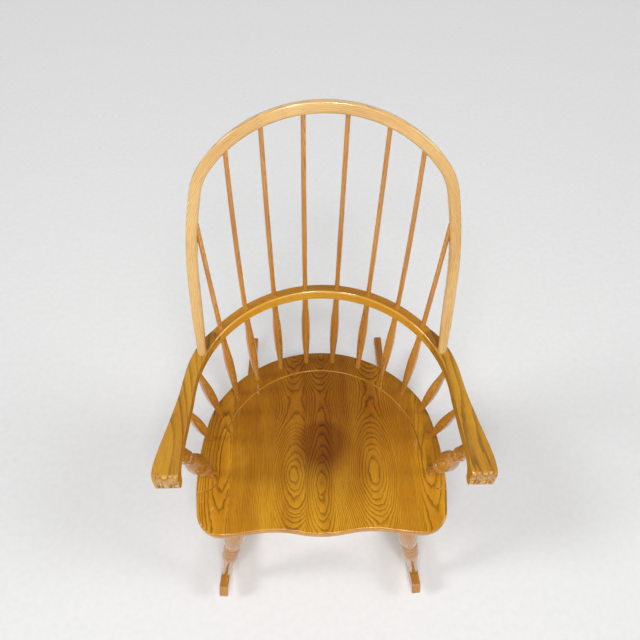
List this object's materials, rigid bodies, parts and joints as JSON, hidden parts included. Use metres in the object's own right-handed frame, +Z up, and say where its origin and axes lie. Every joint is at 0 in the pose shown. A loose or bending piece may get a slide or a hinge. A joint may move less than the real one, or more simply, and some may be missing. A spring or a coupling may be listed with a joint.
{
  "type": "rocking chair",
  "caption": "Wooden rocking chair with a bent hoop back, turned spindles, a saddled seat, a curved rail with scrolled carved arms, turned posts and legs, and two rockers.",
  "frame": {"origin": "on the floor, below the middle of the chair's outline seen from above", "axes": "+X to the right of somebody who looks at the chair's front, +Y from the front to the back, +Z up"},
  "size_m": [0.6218, 0.7317, 1.1393],
  "materials": {
    "seat_oak": "golden oak stain under clear gloss varnish, boards running front to back",
    "bow_oak": "golden oak stain under clear gloss varnish, grain along the bow",
    "hoop_oak": "pale honey oak under clear gloss varnish, grain along the bend",
    "spindle_oak": "turned oak, orange-brown stain under clear varnish",
    "leg_oak": "turned oak, golden stain under clear gloss varnish",
    "rocker_oak": "sawn oak, golden stain under clear gloss varnish"
  },
  "bodies": {
    "root": {"seat": "seat_oak", "back_rail": "bow_oak", "left_arm": "bow_oak", "right_arm": "bow_oak", "hoop": "hoop_oak", "back_spindle_1": "spindle_oak", "back_spindle_2": "spindle_oak", "back_spindle_3": "spindle_oak", "back_spindle_4": "spindle_oak", "back_spindle_5": "spindle_oak", "back_spindle_6": "spindle_oak", "back_spindle_7": "spindle_oak", "back_spindle_8": "spindle_oak", "left_rear_arm_spindle": "spindle_oak", "left_front_arm_spindle": "spindle_oak", "right_rear_arm_spindle": "spindle_oak", "right_front_arm_spindle": "spindle_oak", "left_arm_post": "leg_oak", "right_arm_post": "leg_oak", "left_front_leg": "leg_oak", "right_front_leg": "leg_oak", "left_rear_leg": "leg_oak", "right_rear_leg": "leg_oak", "left_side_stretcher": "leg_oak", "right_side_stretcher": "leg_oak", "cross_stretcher": "leg_oak", "left_rocker": "rocker_oak", "right_rocker": "rocker_oak"}
  },
  "joints": []
}
